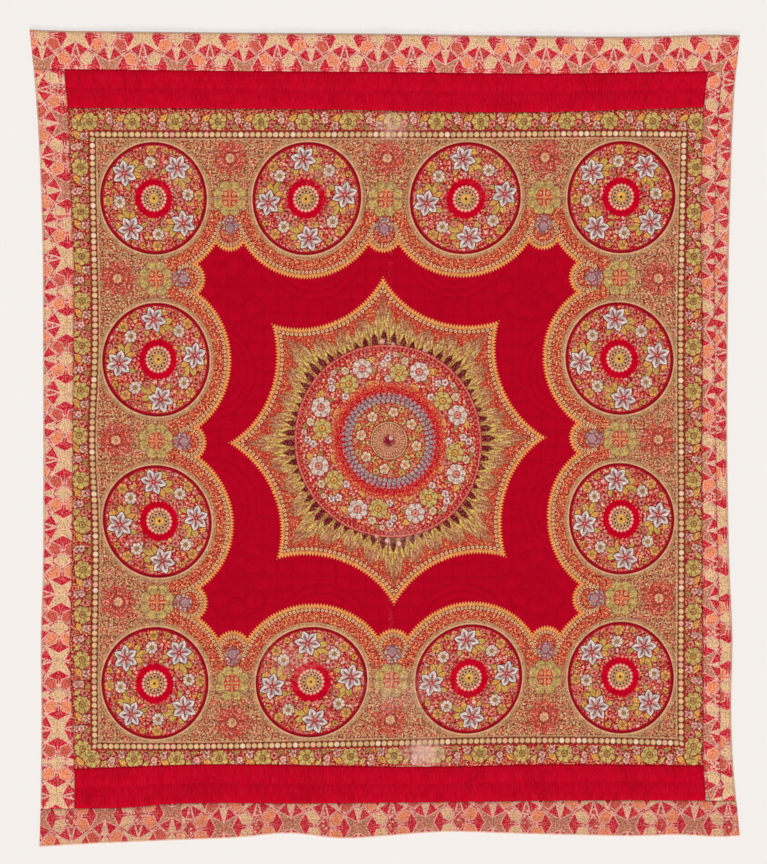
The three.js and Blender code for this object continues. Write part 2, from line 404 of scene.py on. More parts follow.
def make_sheet(node_name, materials, region_of):
    """A closed sheet over a solid: its quilted face, its turned-in or seamed edges and its flat back."""
    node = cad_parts[node_name]
    across, up, fine = SQUARES[node_name]
    sides = sides_of(node)
    low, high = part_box(node_name)
    hems = HEMS.get(node_name, ())
    s = grid_shares(across * fine, high[0] - low[0], "left" in hems, "right" in hems)
    t = grid_shares(up * fine, high[1] - low[1], "bottom" in hems, "top" in hems)
    x, y = on_cloth(sides, s, t)
    shares_across, shares_up = np.meshgrid(s, t)
    q = shares_across * across
    r = shares_up * up
    puff, lines = squares_quilting(q, r)
    if node_name == "centre_panel":
        puff, lines = field_quilting(x, y, puff, lines)
    else:
        lines = STRIP_LINES * lines
    z = STITCHED + PUFF * puff + slow_relief(x, y)
    distances = {
        "left": x - x[:, :1],
        "right": x[:, -1:] - x,
        "bottom": y - y[:1, :],
        "top": y[-1:, :] - y,
    }
    for side, distance in distances.items():
        if side in hems:
            rounding = np.clip(distance / HEM_ROUND, 0, 1)
            z = HEM_EDGE + (z - HEM_EDGE) * np.sqrt(1 - (1 - rounding) ** 2)
        else:
            seam = line(distance, SEAM_WIDTH)
            z = z - SEAM_DEPTH * seam
            lines = np.maximum(lines, SEAM_SHADE * seam)

    rows, columns = x.shape
    index = np.arange(rows * columns).reshape(rows, columns)
    faces = np.stack([index[:-1, :-1], index[:-1, 1:], index[1:, 1:], index[1:, :-1]], axis=-1)
    faces = faces.reshape(-1, 4)
    rim = np.concatenate([index[0, :-1], index[:-1, -1], index[-1, :0:-1], index[:0:-1, 0]])
    under = rows * columns + np.arange(len(rim))
    walls = np.stack([rim, under, np.roll(under, -1), np.roll(rim, -1)], axis=-1)
    flat = np.column_stack([x.ravel(), y.ravel(), z.ravel()])
    points = np.vstack([flat, np.column_stack([flat[rim, :2], np.zeros(len(rim))])])
    mesh = bpy.data.meshes.new(node_name + "_cloth")
    mesh.from_pydata(points.tolist(), [], faces.tolist() + walls.tolist() + [under[::-1].tolist()])

    def with_rim(values):
        return np.concatenate([values.ravel(), values.ravel()[rim]])

    drawn_x, drawn_y = (with_rim(values) for values in drawn_places(x, y))
    give_point_places(mesh, "drawn", drawn_x, drawn_y)
    give_point_places(mesh, "lattice", with_rim(q), with_rim(r))
    # The share of painted shade along the stitched lines and seams, darkened into the cloth's colour
    give_point_values(mesh, "stitch_shade", with_rim(lines))
    give_point_values(mesh, "worn", with_rim(worn_share(x, y)))

    for material in materials:
        mesh.materials.append(material)
    regions = region_of(drawn_x[faces].mean(axis=1), drawn_y[faces].mean(axis=1))
    back = len(materials) - 1
    slots = np.concatenate([regions, np.full(len(walls), regions[0]), [back]]).astype(np.int32)
    mesh.polygons.foreach_set("material_index", slots)
    mesh.polygons.foreach_set("use_smooth", np.ones(len(slots), dtype=bool))
    add_bake_map(mesh, with_rim(shares_across), with_rim(shares_up), len(faces) + len(walls))
    mesh.update()
    sheet = bpy.data.objects.new(node_name + "_cloth", mesh)
    bpy.context.scene.collection.objects.link(sheet)
    return sheet


def add_bake_map(mesh, across, up, back_face):
    """A map of the sheet: its face and walls on all but the foot of the map, and its back in the foot."""
    foot = 0.04
    layer = mesh.uv_layers.new(name="OFBake")
    corner_point = np.empty(len(mesh.loops), dtype=np.int32)
    mesh.loops.foreach_get("vertex_index", corner_point)
    u = across[corner_point]
    v = foot + (1 - foot) * up[corner_point]
    first_back = 4 * back_face
    v[first_back:] = 0.5 * foot * up[corner_point][first_back:]
    layer.data.foreach_set("uv", np.column_stack([u, v]).ravel())


# Numbers and colours that vary over the cloth, each worked out by one node

def linear(red, green, blue):
    """A colour seen as red, green and blue of 0 to 255, in the renderer's own scale."""
    def channel(value):
        v = value / 255
        return v / 12.92 if v <= 0.04045 else ((v + 0.055) / 1.055) ** 2.4
    return (channel(red), channel(green), channel(blue), 1.0)


class Num:
    """A number at each point of the cloth."""

    def __init__(self, paint, socket):
        self.paint = paint
        self.socket = socket

    def __add__(self, other):
        return self.paint.math("ADD", self, other)

    __radd__ = __add__

    def __sub__(self, other):
        return self.paint.math("SUBTRACT", self, other)

    def __rsub__(self, other):
        return self.paint.math("SUBTRACT", other, self)

    def __mul__(self, other):
        return self.paint.math("MULTIPLY", self, other)

    __rmul__ = __mul__

    def __truediv__(self, other):
        return self.paint.math("DIVIDE", self, other)

    def __neg__(self):
        return self.paint.math("MULTIPLY", self, -1.0)

    def __abs__(self):
        return self.paint.math("ABSOLUTE", self)


class Paint:
    """The nodes of one cloth's material, written as arithmetic."""

    def __init__(self, name):
        self.material = bpy.data.materials.new(name)
        self.material.use_nodes = True
        self.tree = self.material.node_tree
        self.tree.nodes.clear()

    def node(self, kind, **settings):
        made = self.tree.nodes.new(kind)
        for key, value in settings.items():
            setattr(made, key, value)
        return made

    def feed(self, socket, value):
        if isinstance(value, Num):
            self.tree.links.new(value.socket, socket)
        elif isinstance(value, bpy.types.NodeSocket):
            self.tree.links.new(value, socket)
        else:
            socket.default_value = value

    def math(self, operation, *values, clamp=False):
        made = self.node("ShaderNodeMath", operation=operation, use_clamp=clamp)
        for socket, value in zip(made.inputs, values):
            self.feed(socket, value)
        return Num(self, made.outputs[0])

    def mix(self, below, above, share):
        made = self.node("ShaderNodeMix", data_type="RGBA")
        self.feed(made.inputs[0], share)
        self.feed(made.inputs[6], below)
        self.feed(made.inputs[7], above)
        return made.outputs[2]

    def lay(self, colour, *layers):
        """Lays colours over another, one after the other, each by its own share."""
        for tone, share in layers:
            colour = self.mix(colour, tone, share)
        return colour

    def place(self, x, y):
        made = self.node("ShaderNodeCombineXYZ")
        self.feed(made.inputs[0], x)
        self.feed(made.inputs[1], y)
        return made.outputs[0]

    def attribute(self, name):
        return self.node("ShaderNodeAttribute", attribute_name=name)

    def point_value(self, name):
        return Num(self, self.attribute(name).outputs["Fac"])

    def point_place(self, name):
        split = self.node("ShaderNodeSeparateXYZ")
        self.feed(split.inputs[0], self.attribute(name).outputs["Vector"])
        return Num(self, split.outputs[0]), Num(self, split.outputs[1])

    def noise(self, place, scale, detail=2.0, roughness=0.5):
        made = self.node("ShaderNodeTexNoise", noise_dimensions="2D")
        self.feed(made.inputs["Vector"], place)
        made.inputs["Scale"].default_value = scale
        made.inputs["Detail"].default_value = detail
        made.inputs["Roughness"].default_value = roughness
        return Num(self, made.outputs["Fac"])

    def cells(self, place, size, uneven):
        """Scattered points: the distance to the nearest, and two random numbers for it."""
        made = self.node("ShaderNodeTexVoronoi", voronoi_dimensions="2D")
        self.feed(made.inputs["Vector"], place)
        made.inputs["Scale"].default_value = 1.0 / size
        made.inputs["Randomness"].default_value = uneven
        split = self.node("ShaderNodeSeparateColor")
        self.feed(split.inputs[0], made.outputs["Color"])
        return Num(self, made.outputs["Distance"]), Num(self, split.outputs[0]), Num(self, split.outputs[1])

    def choose(self, share, tones):
        """One of several colours, by a number from 0 to 1."""
        made = self.node("ShaderNodeValToRGB")
        ramp = made.color_ramp
        ramp.interpolation = "CONSTANT"
        while len(ramp.elements) < len(tones):
            ramp.elements.new(1.0)
        for k, tone in enumerate(tones):
            ramp.elements[k].position = k / len(tones)
            ramp.elements[k].color = tone
        self.feed(made.inputs[0], share)
        return made.outputs[0]

    def matt(self, colour, specular):
        """Ends the material as a matt surface of a colour, and gives the surface's shader."""
        shader = self.node("ShaderNodeBsdfPrincipled")
        self.feed(shader.inputs["Base Color"], colour)
        shader.inputs["Roughness"].default_value = 0.9
        shader.inputs["Specular IOR Level"].default_value = specular
        self.feed(self.node("ShaderNodeOutputMaterial").inputs[0], shader.outputs[0])
        return shader


def fused(a, b, c, clamp=False):
    """a times b plus c."""
    return a.paint.math("MULTIPLY_ADD", a, b, c, clamp=clamp)


def sine(a):
    return a.paint.math("SINE", a)


def least(a, b):
    return a.paint.math("MINIMUM", a, b)


def most(a, b):
    return a.paint.math("MAXIMUM", a, b)


def fract(a):
    return a.paint.math("FRACT", a)


def hypot(x, y):
    return x.paint.math("SQRT", fused(x, x, y * y))


def bearing(x, y):
    """The angle at which a place is seen from the middle."""
    return x.paint.math("ARCTAN2", y, x)


def centred(a, period, start=0.0):
    """The distance from the middle of the nearest repeat, with middles at start and every period."""
    return fused(fract((a - (start - period / 2)) / period), period, -period / 2)


def within(value, limit, soft=1.0):
    """1 where the value is under the limit, 0 where it is over, and soft between."""
    if isinstance(limit, Num):
        value = value - limit
        limit = 0.0
    return fused(value, -1.0 / soft, limit / soft + 0.5, clamp=True)


def beyond(value, limit, soft=1.0):
    """1 where the value is over the limit, 0 where it is under, and soft between."""
    if isinstance(limit, Num):
        value = value - limit
        limit = 0.0
    return fused(value, 1.0 / soft, 0.5 - limit / soft, clamp=True)


def band(value, middle, width, soft=1.0):
    """1 in a band of a width round a middle, and 0 outside it."""
    return within(abs(value - middle), width / 2, soft)


def teeth(angle, count, start=0.0):
    """How far a place is from the nearest of a ring of teeth: 0 on one, and 1 halfway between two."""
    return abs(centred(angle, 2 * math.pi / count, start)) * (count / math.pi)


def beads(radius, angle, ring, count, start=0.0):
    """How far a place is from the nearest of a ring of beads."""
    return hypot(radius - ring, centred(angle, 2 * math.pi / count, start) * ring)


def around(x, y, count, start=0.0):
    """Folds a turn into equal sectors: the radius, the angle from the sector's middle, and its x and y."""
    radius = hypot(x, y)
    sector = fract(fused(bearing(x, y) - start, count / (2 * math.pi), 0.5))
    turned = fused(sector, 2 * math.pi / count, -math.pi / count)
    paint = x.paint
    return radius, turned, radius * paint.math("COSINE", turned), radius * sine(turned)


def polar(ring, degrees):
    return ring * math.cos(math.radians(degrees)), ring * math.sin(math.radians(degrees))


# Colours of the print

STRIP_RED = linear(201, 2, 35)
FIELD_RED = linear(184, 3, 33)
DEEP_RED = linear(172, 12, 34)
WINE = linear(128, 14, 28)
BROWN = linear(112, 42, 30)
DARK = linear(78, 26, 22)
PINK = linear(238, 140, 124)
PALE_PINK = linear(248, 200, 184)
CREAM = linear(242, 214, 180)
TAN = linear(216, 178, 130)
KHAKI = linear(200, 170, 116)
OLIVE = linear(176, 144, 80)
LEAF = linear(214, 192, 108)
OCHRE = linear(234, 174, 84)
GOLD = linear(238, 168, 92)
SALMON = linear(238, 124, 88)
ORANGE = linear(230, 92, 58)
RUST = linear(204, 66, 52)
WHITE = linear(238, 228, 220)
GREY = linear(170, 168, 158)
BLUE = linear(156, 152, 162)
LILAC = linear(198, 144, 148)
PLUM = linear(112, 16, 42)
ROSE_YELLOW = linear(212, 188, 108)
LEAF_GOLD = linear(214, 178, 88)
BLACK = (0.0, 0.0, 0.0, 1.0)


# How every cloth begins and ends

# Threads across one quilted square, and the distance between two cords of the cloth in print units
THREADS = 40.0
CORD = 1.45


def begin(name):
    """Starts a print: its nodes, the place in the drawing as two numbers, and as one socket."""
    paint = Paint(name)
    x, y = paint.point_place("drawn")
    return paint, x, y, paint.place(x, y)


def finish_cloth(paint, colour, fade=1.0, mottle=0.03):
    """Ends a cloth's material: fading, mottling, painted shade in creases and along the stitching, the
    weave, and matt cotton.
    """
    x, y = paint.point_place("drawn")
    place = paint.place(x, y)
    if fade > 0:
        worn = paint.point_value("worn")
        pale = within(paint.noise(place, 0.22, 4.0, 0.75), worn * 0.6 + 0.25, 0.35)
        colour = paint.mix(colour, PALE_PINK, pale * worn * fade)
    speckle = paint.noise(place, 0.5, 3.0, 0.8)
    cords = abs(sine(x * (math.pi / CORD)))
    crease_shade = abs(abs(paint.noise(place, 0.055, 3.0, 0.65) - 0.5) - 0.03)
    colour = paint.lay(
        colour,
        (BLACK, within(speckle, 0.5, 0.3) * mottle),
        (BLACK, within(cords, 0.35, 0.5) * 0.05),
        # Painted shade: thin dark curved lines where creases would be shaded
        (BLACK, within(crease_shade, 0.007, 0.014) * 0.20),
        # Painted shade along the stitched lines and seams
        (BLACK, paint.point_value("stitch_shade") * 0.20),
    )
    warp, weft = (sine(threads * (2 * math.pi * THREADS)) for threads in paint.point_place("lattice"))
    bump = paint.node("ShaderNodeBump")
    bump.inputs["Strength"].default_value = 0.30
    bump.inputs["Distance"].default_value = 0.25 * MM
    paint.feed(bump.inputs["Height"], warp * weft * 0.5 + cords)
    paint.feed(paint.matt(colour, 0.02).inputs["Normal"], bump.outputs[0])
    return paint.material


# What the prints have in common

def engrave(paint, colour, place, amount, fleck=linear(255, 216, 160)):
    """Breaks a print up with the red stippling, dark specks and light flecks of its engraving."""
    ink = paint.noise(place, 0.54, 2.0, 0.75)
    return paint.lay(
        colour,
        (linear(204, 8, 36), beyond(ink, 0.52, 0.08) * (amount * 0.56)),
        (DARK, beyond(ink, 0.60, 0.05) * (amount * 0.85)),
        (fleck, within(ink, 0.40, 0.07) * (amount * 0.42)),
    )


def florets(paint, colour, place, size, tones, fill, uneven, outline, eye=CREAM):
    """Small scattered florets, each with a dark outline, and many with a pale eye."""
    distance, pick, other = paint.cells(place, size, uneven)
    return paint.lay(
        colour,
        (outline, within(distance, fill + 0.12, 0.16) * 0.6),
        (paint.choose(pick, tones), within(distance, fill, 0.16)),
        (eye, within(distance, fill * 0.4, 0.14) * beyond(other, 0.5, 0.1)),
    )


def bloom(paint, colour, x, y, size, petals, tone, heart, depth=0.26, outline=DARK):
    """A flower of rounded petals, with dark lines round and between them, and a ringed heart."""
    radius = hypot(x, y)
    lobe = abs(sine(bearing(x, y) * (petals / 2)))
    edge = fused(paint.math("SQRT", lobe), size * depth, size * (1 - depth))
    inside = within(radius, edge, 0.8)
    split = within(lobe, 0.18, 0.3) * beyond(radius, size * 0.45, 0.8) * inside
    fold = band(radius, size * 0.68, size * 0.16, 1.2) * within(lobe, 0.75, 0.3)
    return paint.lay(
        colour,
        (outline, within(radius, edge + 0.9, 0.9) * 0.85),
        (tone, inside),
        (outline, split * 0.6),
        (outline, fold * 0.35),
        (outline, within(radius, size * 0.42, 0.8) * 0.85),
        (heart, within(radius, size * 0.31, 0.8)),
        (outline, within(radius, size * 0.10, 0.5) * 0.8),
    )


def leaf(paint, colour, x, y, degrees, length, width, tone):
    """A pointed leaf with a dark edge and vein."""
    cosine, turn_sine = polar(1.0, degrees)
    leaf_x = fused(x, cosine, y * turn_sine)
    leaf_y = fused(y, cosine, x * -turn_sine)
    share = leaf_x / length
    half = fused(share * share, -width, width)
    off = abs(leaf_y)
    vein = within(off, 0.3, 0.5) * within(abs(leaf_x), length * 0.6)
    return paint.lay(
        colour,
        (BROWN, within(off, half + 0.8, 0.8) * 0.85),
        (tone, within(off, half, 0.8)),
        (BROWN, vein * 0.5),
    )


def posy(paint, colour, x, y, draw, rows):
    """Blooms or leaves at their places in a sector: distance out, degrees and what each is drawn by."""
    for ring, degrees, *details in rows:
        at_x, at_y = polar(ring, degrees)
        colour = draw(paint, colour, x - at_x, y - at_y, *details)
    return colour


# The plain cloths

def plain_red():
    paint, x, y, place = begin("plain_red_cotton")
    cloud = paint.noise(place, 0.03, 3.0, 0.6)
    thread = paint.noise(paint.place(x * 1.6, y * 0.10), 1.0, 2.0, 0.7)
    colour = paint.mix(linear(188, 2, 30), STRIP_RED, beyond(cloud, 0.42, 0.25))
    colour = paint.mix(colour, linear(214, 40, 62), beyond(thread, 0.60, 0.2) * 0.35)
    return finish_cloth(paint, colour, 0.0, 0.09)


def plain_back():
    """The plain cotton underside."""
    paint, _, _, place = begin("plain_back_cotton")
    colour = paint.mix(linear(226, 212, 190), linear(212, 196, 172), paint.noise(place, 0.05, 3.0))
    return finish_cloth(paint, colour, 0.0)


# The panel's roundels, each in its own square of the repeat

ROUNDEL = 55.5
LILY = 13.0
LILY_RING = 39.0
# Leaves beside each lily, by distance out, degrees from the lily, turn, half length, half width and colour
LILY_LEAVES = [
    (46.5, -14, 70, 5.6, 2.8, OCHRE),
    (38.5, -21, 100, 7.0, 3.0, LEAF_GOLD),
    (32.0, -27, 60, 7.2, 3.2, LEAF_GOLD),
    (28.5, -14, 30, 6.0, 2.6, OCHRE),
    (26.0, -33, 120, 5.0, 2.3, OLIVE),
    (51.0, 5, 15, 4.6, 2.0, OCHRE),
    (28.5, 17, -30, 4.8, 2.1, LEAF_GOLD),
]
# Flowers between two lilies
BETWEEN_LILIES = [
    (47.0, -3, 5.2, 6, GOLD, OLIVE),
    (48.5, -21, 3.0, 5, OCHRE, RUST),
    (27.5, -13, 3.8, 5, PINK, DEEP_RED),
    (44.5, 14, 3.8, 6, SALMON, DEEP_RED),
    (27.0, 15, 3.4, 5, PINK, RUST),
    (49.8, 25, 2.8, 5, PINK, RUST),
    (35.5, 0, 6.0, 8, linear(238, 216, 196), OLIVE),
]


def lily(paint, colour, x, y):
    """A white flower with six pointed petals, grey shading, dark veins and a red throat."""
    radius = hypot(x, y)
    side = fused(fract(fused(bearing(x, y), 3 / math.pi, 0.27)), 2.0, -1.0)
    off = abs(side)
    edge = fused(off, fused(off, 0.06 * LILY, -0.45 * LILY), LILY)
    inside = within(radius, edge, 0.8)
    shade = within(abs(side - 0.26), 0.42, 0.3) * within(radius, edge * 0.80, 2.6)
    vein = within(off * radius, 1.2, 0.9) * within(radius, LILY * 0.66, 1.2)
    throat = within(abs(off - 0.5) * radius, 0.7, 0.6) * within(radius, 6.0, 1.5)
    return paint.lay(
        colour,
        (DARK, within(radius, edge + 1.2, 0.9) * 0.95),
        (WHITE, inside),
        (linear(136, 132, 130), shade * 0.95),
        (DARK, beyond(off, 0.84, 0.2) * inside * 0.7),
        (linear(152, 28, 52), vein * 0.85),
        (RUST, throat * 0.7),
        (DEEP_RED, within(radius, 2.2, 1.4)),
        (PALE_PINK, within(radius, 0.7, 0.7)),
    )


def roundel_core(paint, colour, radius, angle):
    """The roundel's plain red ring and its golden rosette of fine petals, each with a pale tip."""
    petal = teeth(angle, 20)
    edge = fused(petal * petal, -1.8, 13.4)
    return paint.lay(
        colour,
        (STRIP_RED, within(radius, 18.8 + teeth(angle, 30) * 1.6, 0.8)),
        (PINK, within(radius, edge, 0.7)),
        (BROWN, within(radius, edge - 0.9, 0.7) * 0.85),
        (linear(240, 196, 158), within(beads(radius, angle, 11.3, 20), 1.2, 0.6)),
        (TAN, within(radius, 9.4, 0.8)),
        (BROWN, within(beads(radius, angle, 7.2, 12), 1.2, 0.7)),
        (RUST, within(beads(radius, angle, 8.8, 12, math.pi / 12), 0.8, 0.6)),
        (BROWN, band(radius, 5.2, 0.9, 0.6) * 0.7),
        (OCHRE, within(radius, 4.7, 0.6)),
        (DARK, within(radius, 1.3, 0.7)),
    )


def roundel_rim(paint, colour, radius):
    """The bare red edge inside a roundel and its thin dark rim."""
    return paint.lay(
        colour,
        (DEEP_RED, beyond(radius, ROUNDEL - 3.6, 1.2)),
        (WINE, beyond(radius, ROUNDEL - 1.7, 0.8)),
    )


def roundels():
    """The roundels: millefleur ground, four lilies each, small flowers and a beaded core."""
    paint, drawn_x, drawn_y, place = begin("panel_roundels")
    corner = beyond(least(abs(drawn_x), abs(drawn_y)), PITCH, 0.01)
    start = fused(corner, math.radians(45), math.radians(6))
    x = centred(drawn_x, PITCH, PITCH / 2)
    y = centred(drawn_y, PITCH, PITCH / 2)
    radius = hypot(x, y)
    _, _, lily_x, lily_y = around(x, y, 4, start)
    _, _, side_x, side_y = around(x, y, 4, start + math.pi / 4)
    small = [PINK, SALMON, RUST, PALE_PINK, RUST, PINK, OCHRE, SALMON]
    larger = [PINK, SALMON, OCHRE, PALE_PINK, RUST, LEAF_GOLD]
    colour = florets(paint, linear(184, 10, 36), place, 2.9, small, 0.42, 0.95, WINE)
    colour = florets(paint, colour, place, 7.4, larger, 0.27, 0.9, WINE)
    colour = engrave(paint, colour, place, 0.85, linear(255, 176, 164))
    colour = posy(paint, colour, lily_x, lily_y, leaf, LILY_LEAVES)
    colour = posy(paint, colour, side_x, side_y, bloom, BETWEEN_LILIES)
    colour = lily(paint, colour, lily_x - LILY_RING, lily_y)
    colour = engrave(paint, colour, place, 0.36, linear(255, 206, 170))
    colour = roundel_core(paint, colour, radius, bearing(x, y))
    return finish_cloth(paint, roundel_rim(paint, colour, radius))


# The panel's ground

# In a motif between two roundels, a is the place along the ring of roundels, and b the place out from it.
# How far out from a quatrefoil the rosette next to it stands, and how far in the tuft
ROSETTE_OUT = 39.5
TUFT_IN = 26.5
# Outer edge of the lace round a roundel and round a tuft's lobe, how far in the lobes stand, and the line
# that the edge doesn't cross
ROUNDEL_LACE = 79.3
LOBE_LACE = 19.3
LOBE_IN = 33.5
LACE_LINE = 31.3
# How deep inside the edge the lace's beads lie
LACE_BEADS = 6.9
FRAME_BEAD = 5.9


def roundel_edge(paint, colour, x, y):
    """The lines round a roundel, from its dark rim outwards."""
    radius = hypot(x, y)
    ticks = beyond(abs(centred(bearing(x, y) * 58.0, 1.9)), 0.55, 0.4)
    ticked = paint.mix(linear(202, 168, 118), BROWN, ticks * 0.45)
    return paint.lay(
        colour,
        (roundel_rim(paint, DEEP_RED, radius), within(radius, ROUNDEL)),
        (linear(232, 176, 134), band(radius, ROUNDEL + 0.6, 1.4, 0.8)),
        (ticked, band(radius, ROUNDEL + 2.9, 3.2, 1.0) * 0.5),
        (BROWN, band(radius, ROUNDEL + 4.9, 0.8, 0.8) * 0.3),
    )


def engraved_ground(paint, place):
    """The finely engraved ground: light specks on rust, khaki in some places and pink in others."""
    khaki = [TAN, KHAKI, KHAKI, PALE_PINK, OLIVE, TAN, SALMON, KHAKI]
    colour = florets(paint, linear(166, 78, 54), place, 2.3, khaki, 0.44, 1.0, BROWN)
    pinkish = florets(paint, RUST, place, 2.6, [PINK, SALMON, TAN, PINK], 0.38, 1.0, WINE)
    sprig, pick, _ = paint.cells(place, 9.0, 1.0)
    return paint.lay(
        colour,
        (pinkish, beyond(paint.noise(place, 0.11, 3.0, 0.7), 0.56, 0.08) * 0.8),
        (linear(204, 172, 112), beyond(paint.noise(place, 0.17), 0.52, 0.12) * 0.45),
        (BROWN, band(sprig, 0.30, 0.10, 0.08) * beyond(pick, 0.4, 0.1) * 0.45),
    )


def lace_ground(paint, colour, place, depth, reach, streaks=None):
    """The rust ground behind a lace edge, by how deep inside the edge a point is."""
    tones = [SALMON, RUST, GOLD, ORANGE, RUST, OCHRE]
    fill = florets(paint, linear(208, 76, 48), place, 2.4, tones, 0.38, 1.0, WINE)
    if streaks is not None:
        fill = paint.mix(fill, linear(186, 40, 40), beyond(streaks, 0.5, 0.14) * 0.7)
    return paint.mix(colour, fill, within(depth, reach, 2.0))


def lace(paint, colour, place, depth, along):
    """The pointed lace edge: how deep inside the edge a point is, and how far along the edge."""
    tones = [GOLD, OCHRE, SALMON, OLIVE, GOLD]
    bead = hypot(depth - LACE_BEADS, centred(along, 4.3))
    return paint.lay(
        colour,
        (BROWN, band(depth, LACE_BEADS, 4.0) * 0.6),
        (linear(246, 204, 150), within(bead, 1.45, 0.7)),
        (WINE, within(bead, 0.6, 0.5)),
        (florets(paint, linear(214, 128, 66), place, 2.1, tones, 0.42, 1.0, RUST), within(depth, 5.0)),
        (GOLD, within(depth, 3.4, 0.8)),
        (FIELD_RED, within(depth, abs(centred(along, 3.0)) * 2.1, 0.9)),
    )


def rosette(paint, colour, place, a, b):
    """The rust rosette between two roundels, next to the beaded line."""
    out = b - ROSETTE_OUT
    tones = [PINK, SALMON, RUST, PINK, ORANGE]
    rust = florets(paint, linear(196, 76, 60), place, 2.5, tones, 0.40, 1.0, WINE)
    colour = bloom(paint, colour, a, out, 17.0, 10, rust, RUST, 0.32, linear(140, 52, 44))
    return bloom(paint, colour, a, out, 4.6, 9, linear(232, 196, 150), KHAKI, 0.24, RUST)


def quatrefoil(paint, colour, place, a, b):
    """The green quatrefoil between two roundels, with four small rings round its cross."""
    tones = [LEAF, KHAKI, LEAF, TAN]
    green = florets(paint, linear(190, 168, 98), place, 2.6, tones, 0.46, 1.0, OLIVE, LEAF)
    colour = bloom(paint, colour, a, b, 17.6, 8, green, SALMON, 0.26, linear(124, 84, 50))
    radius = hypot(a, b)
    middle = within(radius, 8.8, 1.4)
    off_a, off_b = abs(a), abs(b)
    ring = hypot(off_a - 4.3, off_b - 4.3)
    return paint.lay(
        colour,
        (linear(204, 74, 58), middle * 0.95),
        (linear(226, 176, 110), within(least(off_a, off_b), 0.8) * middle * 0.8),
        (WINE, within(ring, 2.5, 0.8) * 0.8),
        (linear(244, 184, 132), within(ring, 1.9, 0.7)),
        (RUST, within(ring, 0.8, 0.5)),
        (SALMON, within(radius, 1.4, 0.8)),
    )


def tuft(paint, colour, place, a, b):
    """The small blue-grey tuft of flowers under a quatrefoil, outlined in dark red."""
    lift = b + TUFT_IN
    tones = [GREY, LILAC, BLUE, TAN, LILAC]
    fill = florets(paint, linear(176, 100, 92), place, 2.9, tones, 0.42, 0.8, linear(128, 44, 56))
    colour = bloom(paint, colour, a * 1.1, lift, 9.6, 9, fill, LILAC, 0.24, linear(140, 40, 48))
    return bloom(paint, colour, a, lift + 2.4, 4.4, 7, LILAC, GREY, 0.26, PLUM)


def frame_place(x, y):
    """How far along its side of the square frame a place is, and how far out from the panel's middle."""
    far_x, far_y = abs(x), abs(y)
    return fused(beyond(far_y, far_x, 0.01), x - y, y), most(far_x, far_y)


def frame_beads(paint, colour, x, y):
    """The beaded line round the panel, between two dark lines."""
    along, out = frame_place(x, y)
    off = out - FRAME_LINE
    number = paint.math("FLOOR", along / FRAME_BEAD + 0.5)
    pick = fract(sine(number * 12.99) * 43.7)
    plain_bead = linear(230, 192, 140)
    tones = [plain_bead, CREAM, TAN, plain_bead, linear(238, 178, 150), TAN, plain_bead, TAN]
    bead = hypot(off, centred(along, FRAME_BEAD))
    return paint.lay(
        colour,
        (linear(128, 50, 34), band(off, 0.0, 7.0, 0.9)),
        (TAN, band(off, -4.6, 1.0, 0.7) * 0.7),
        (paint.choose(pick, tones), within(bead, 2.5, 0.9)),
    )


def panel_ground():
    """The ground round the roundels: engraved, with a lace edge and the motifs between the roundels."""
    paint, x, y, place = begin("panel_ground")
    furthest = most(abs(x), abs(y))
    a = centred(least(abs(x), abs(y)), PITCH)
    b = furthest - 1.5 * PITCH
    local_x = centred(x, PITCH, PITCH / 2)
    local_y = centred(y, PITCH, PITCH / 2)
    middle_field = within(furthest, PITCH, 0.01)
    to_roundel = ROUNDEL_LACE - hypot(local_x, local_y) - middle_field * PITCH
    to_lobe = LOBE_LACE - hypot(a, b + LOBE_IN)
    depth = most(most(to_roundel, to_lobe), b + LACE_LINE)
    along_roundel = bearing(local_x, local_y) * 78.0
    along_lobe = bearing(a, b + LOBE_IN) * 18.0
    along = fused(beyond(to_lobe, to_roundel, 0.1), along_lobe - along_roundel, along_roundel)
    inner_side = within(b, -8.0, 3.0)
    near_motif = within(hypot(a, abs(b - ROSETTE_OUT / 2) - ROSETTE_OUT / 2), 18.0, 2.0)

    colour = rosette(paint, engraved_ground(paint, place), place, a, b)
    colour = paint.mix(colour, lace_ground(paint, colour, place, depth, 19.5), inner_side)
    colour = quatrefoil(paint, colour, place, a, b)
    colour = engrave(paint, colour, place, fused(near_motif, -0.5, 1.0))
    colour = paint.mix(colour, lace(paint, colour, place, depth, along), inner_side)
    colour = tuft(paint, colour, place, a, b)
    colour = roundel_edge(paint, colour, local_x, local_y)
    colour = paint.mix(colour, FIELD_RED, within(depth, 0.0, 0.01))
    return finish_cloth(paint, frame_beads(paint, colour, x, y))


# The star in the middle of the panel

# Flowers of one eighth of the broad ring
RING_POSY = [
    (75.0, 19.0, 3.6, 5, WHITE, PINK),
    (80.5, 16.0, 3.4, 5, WHITE, RUST),
    (84.5, 11.0, 2.8, 5, PALE_PINK, OCHRE),
    (60.0, 16.0, 3.6, 5, WHITE, SALMON),
    (79.5, 3.5, 4.0, 6, CREAM, LEAF),
    (60.5, -2.0, 4.4, 6, PINK, DEEP_RED),
    (85.0, -14.5, 2.6, 5, PINK, DEEP_RED),
    (66.8, 6.5, 9.2, 7, ROSE_YELLOW, OCHRE),
    (74.0, -9.0, 9.8, 7, linear(234, 214, 200), PINK),
]
RING_LEAVES = [
    (80.0, -16.0, 80, 6.5, 3.2, OCHRE),
    (57.8, -10.5, 80, 6.0, 2.6, GOLD),
    (72.0, 14.0, 40, 5.0, 2.4, OCHRE),
    (84.5, 8.5, 95, 5.0, 2.0, OLIVE),
    (70.0, -17.0, 20, 4.6, 2.0, OLIVE),
]
# Flowers of one eighth of the inner wreath
WREATH = [
    (33.0, 11.0, 2.7, 5, PINK, LEAF),
    (32.8, -13.5, 3.2, 5, ROSE_YELLOW, RUST),
    (23.4, 20.5, 4.0, 5, ROSE_YELLOW, RUST),
    (27.8, 0.0, 5.0, 5, CREAM, GOLD),
]
